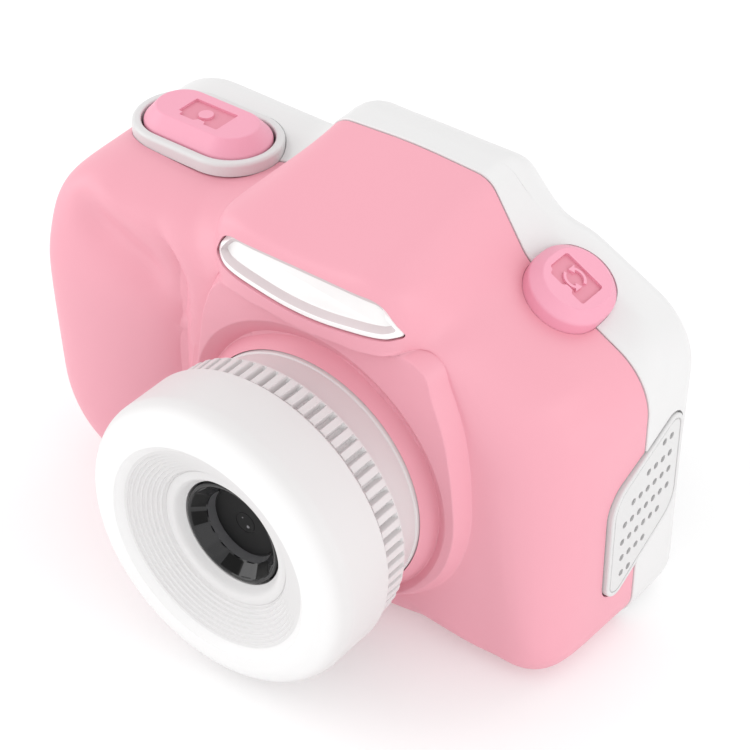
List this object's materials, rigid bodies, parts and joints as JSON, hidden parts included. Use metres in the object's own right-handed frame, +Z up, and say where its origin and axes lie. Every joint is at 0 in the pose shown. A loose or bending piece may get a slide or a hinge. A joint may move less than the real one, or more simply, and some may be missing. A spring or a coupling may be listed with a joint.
{
  "type": "kids digital camera",
  "caption": "Small children's camera with a pink front cover, white rear cover, bulging lens, flash window, two top buttons, rear screen and keys.",
  "frame": {"origin": "on the base, under the lens axis, 4 mm in front of the seam between the covers", "axes": "+Z up, the lens looks along -Y, +X towards the speaker side (right as seen from the front)"},
  "size_m": [0.0986, 0.0627, 0.0705],
  "materials": {
    "pink_shell": "fine satin moulding",
    "pink_button": "fine satin moulding",
    "pink_door": "soft matt rubber",
    "white_shell": "satin moulding",
    "white_lens": "satin to glossy moulding",
    "white_small": "satin moulding",
    "flash_diffuser": "milky, slightly glossy",
    "black_gloss": "polished",
    "dark_glass": "dark tinted, polished",
    "screen_glass": "dark tinted, polished",
    "black_plastic": "matt moulding",
    "steel": "plain sheet steel",
    "screw_steel": "zinc plated",
    "board": "solder mask",
    "white_board": "white solder mask",
    "battery_foil": "foil pouch",
    "flex": "polyimide film",
    "red_wire": "wire insulation",
    "black_wire": "wire insulation"
  },
  "bodies": {
    "case": {"front_cover": "pink_shell", "rear_cover": "white_shell", "lens_barrel": "white_lens", "lens_collar": "white_lens", "lens_bezel": "black_gloss", "lens_glass": "dark_glass", "camera_module": "black_plastic", "camera_flex": "flex", "flash_window": "flash_diffuser", "flash_led_board": "white_board", "shutter_bezel": "white_small", "speaker_grille": "white_small", "speaker_driver": "steel", "main_board": "board", "battery": "battery_foil", "display_module": "black_plastic", "display_window": "screen_glass", "display_flex": "flex", "selfie_window": "screen_glass", "selfie_module": "black_plastic", "key_board": "board", "usb_socket": "steel", "card_socket": "steel", "microphone": "steel", "battery_cable": "red_wire", "speaker_cable": "black_wire", "shutter_switch": "black_plastic", "swap_switch": "black_plastic", "case_screw_1": "screw_steel", "case_screw_2": "screw_steel", "case_screw_3": "screw_steel", "case_screw_4": "screw_steel"},
    "focus_ring": {"focus_ring": "white_lens"},
    "shutter_button": {"shutter_button": "pink_button"},
    "shutter_plunger": {"shutter_plunger": "white_small"},
    "swap_button": {"swap_button": "pink_button"},
    "swap_plunger": {"swap_plunger": "white_small"},
    "memory_card": {"memory_card": "black_plastic"},
    "port_door": {"port_door": "pink_door"},
    "key_up": {"key_up": "white_small"},
    "key_down": {"key_down": "white_small"},
    "key_left": {"key_left": "white_small"},
    "key_right": {"key_right": "white_small"},
    "key_ok": {"key_ok": "pink_button"},
    "key_power": {"key_power": "white_small"},
    "key_playback": {"key_playback": "white_small"}
  },
  "joints": [
    {"name": "focus_ring_turn", "type": "hinge", "parent": "case", "child": "focus_ring", "pos_m": [0, -0.0273, 0.0255], "axis": [0, 1, 0], "range_deg": [-45, 45]},
    {"name": "shutter_button_press", "type": "slide", "parent": "case", "child": "shutter_button", "axis": [0, 0, -1], "range_m": [0, 0.0008], "stiffness_N_per_m": 400},
    {"name": "shutter_plunger_press", "type": "slide", "parent": "case", "child": "shutter_plunger", "axis": [0, 0, -1], "range_m": [0, 0.0008]},
    {"name": "swap_button_press", "type": "slide", "parent": "case", "child": "swap_button", "axis": [-0.4695, 0, -0.8829], "range_m": [0, 0.0007], "stiffness_N_per_m": 400},
    {"name": "swap_plunger_press", "type": "slide", "parent": "case", "child": "swap_plunger", "axis": [-0.4695, 0, -0.8829], "range_m": [0, 0.0007]},
    {"name": "memory_card_push", "type": "slide", "parent": "case", "child": "memory_card", "axis": [1, 0, 0], "range_m": [0, 0.0006]},
    {"name": "port_door_swing", "type": "hinge", "parent": "case", "child": "port_door", "pos_m": [-0.0556, -0.0061, 0.0315], "axis": [0, 0, 1], "range_deg": [0, 100]},
    {"name": "key_up_press", "type": "slide", "parent": "case", "child": "key_up", "axis": [0, -1, 0], "range_m": [0, 0.0004], "stiffness_N_per_m": 400},
    {"name": "key_down_press", "type": "slide", "parent": "case", "child": "key_down", "axis": [0, -1, 0], "range_m": [0, 0.0004], "stiffness_N_per_m": 400},
    {"name": "key_left_press", "type": "slide", "parent": "case", "child": "key_left", "axis": [0, -1, 0], "range_m": [0, 0.0004], "stiffness_N_per_m": 400},
    {"name": "key_right_press", "type": "slide", "parent": "case", "child": "key_right", "axis": [0, -1, 0], "range_m": [0, 0.0004], "stiffness_N_per_m": 400},
    {"name": "key_ok_press", "type": "slide", "parent": "case", "child": "key_ok", "axis": [0, -1, 0], "range_m": [0, 0.0004], "stiffness_N_per_m": 400},
    {"name": "key_power_press", "type": "slide", "parent": "case", "child": "key_power", "axis": [0, -1, 0], "range_m": [0, 0.0004], "stiffness_N_per_m": 400},
    {"name": "key_playback_press", "type": "slide", "parent": "case", "child": "key_playback", "axis": [0, -1, 0], "range_m": [0, 0.0004], "stiffness_N_per_m": 400}
  ],
  "couplings": [
    {"joint": "shutter_plunger_press", "follows": "shutter_button_press", "ratio": 1},
    {"joint": "swap_plunger_press", "follows": "swap_button_press", "ratio": 1}
  ]
}
